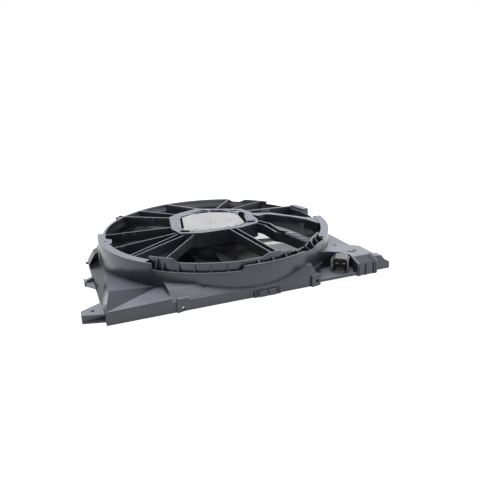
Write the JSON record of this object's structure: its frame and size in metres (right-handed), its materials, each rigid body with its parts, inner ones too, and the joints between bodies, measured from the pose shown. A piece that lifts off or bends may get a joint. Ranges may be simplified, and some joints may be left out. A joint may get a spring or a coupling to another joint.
{
  "type": "radiator fan shroud",
  "caption": "Car radiator fan shroud: a plenum and fan barrel with slanted struts that carry an electric motor with its fan and electronics cover, and a plug in a side bay.",
  "frame": {"origin": "middle of the part's footprint on the open face that lies on the radiator", "axes": "+X along the long side towards the connector, +Y to the rear edge in the picture, +Z out of the radiator towards the motor"},
  "size_m": [0.632, 0.555, 0.0872],
  "materials": {
    "moulding": "satin moulded",
    "connector": "satin moulded",
    "terminal": "tinned",
    "motor_casting": "as cast, light grey",
    "board": "satin",
    "capacitor": "satin",
    "lamination": "stacked sheets",
    "winding": "enamelled wire",
    "steel": "satin",
    "screw": "zinc plated",
    "fan_plastic": "satin moulded",
    "magnet": "matt"
  },
  "bodies": {
    "housing": {"ring_barrel": "moulding", "ring_skirt": "moulding", "plenum": "moulding", "lug_front_left": "moulding", "lug_left": "moulding", "lug_rear_left": "moulding", "lug_rear": "moulding", "rim_socket": "moulding", "rim_block": "moulding", "connector_bay": "moulding", "motor_carrier": "moulding", "strut_left": "moulding", "strut_left_low": "moulding", "strut_pair_upper": "moulding", "strut_pair_lower": "moulding", "strut_front_thin": "moulding", "strut_rear": "moulding", "strut_rear_left": "moulding", "strut_back_left": "moulding", "strut_rear_right": "moulding", "strut_back_right": "moulding", "strut_right": "moulding", "strut_channel": "moulding", "strut_duct": "moulding", "strut_arm": "moulding", "duct_cover": "moulding", "connector_shell": "connector", "connector_blade_1": "terminal", "connector_blade_2": "terminal", "motor_base": "motor_casting", "electronics_cover": "motor_casting", "circuit_board": "board", "board_capacitors": "capacitor", "stator_core": "lamination", "stator_coils": "winding", "bearing_lower": "steel", "bearing_upper": "steel", "motor_screws": "screw", "cover_screws": "screw"},
    "fan": {"fan_wheel": "fan_plastic", "rotor_cup": "steel", "rotor_magnets": "magnet", "motor_shaft": "steel", "fan_screws": "screw"}
  },
  "joints": [
    {"name": "fan_spin", "type": "hinge", "parent": "housing", "child": "fan", "pos_m": [0.008, -0.0085, 0.04], "axis": [0, 0, 1], "continuous": true}
  ]
}
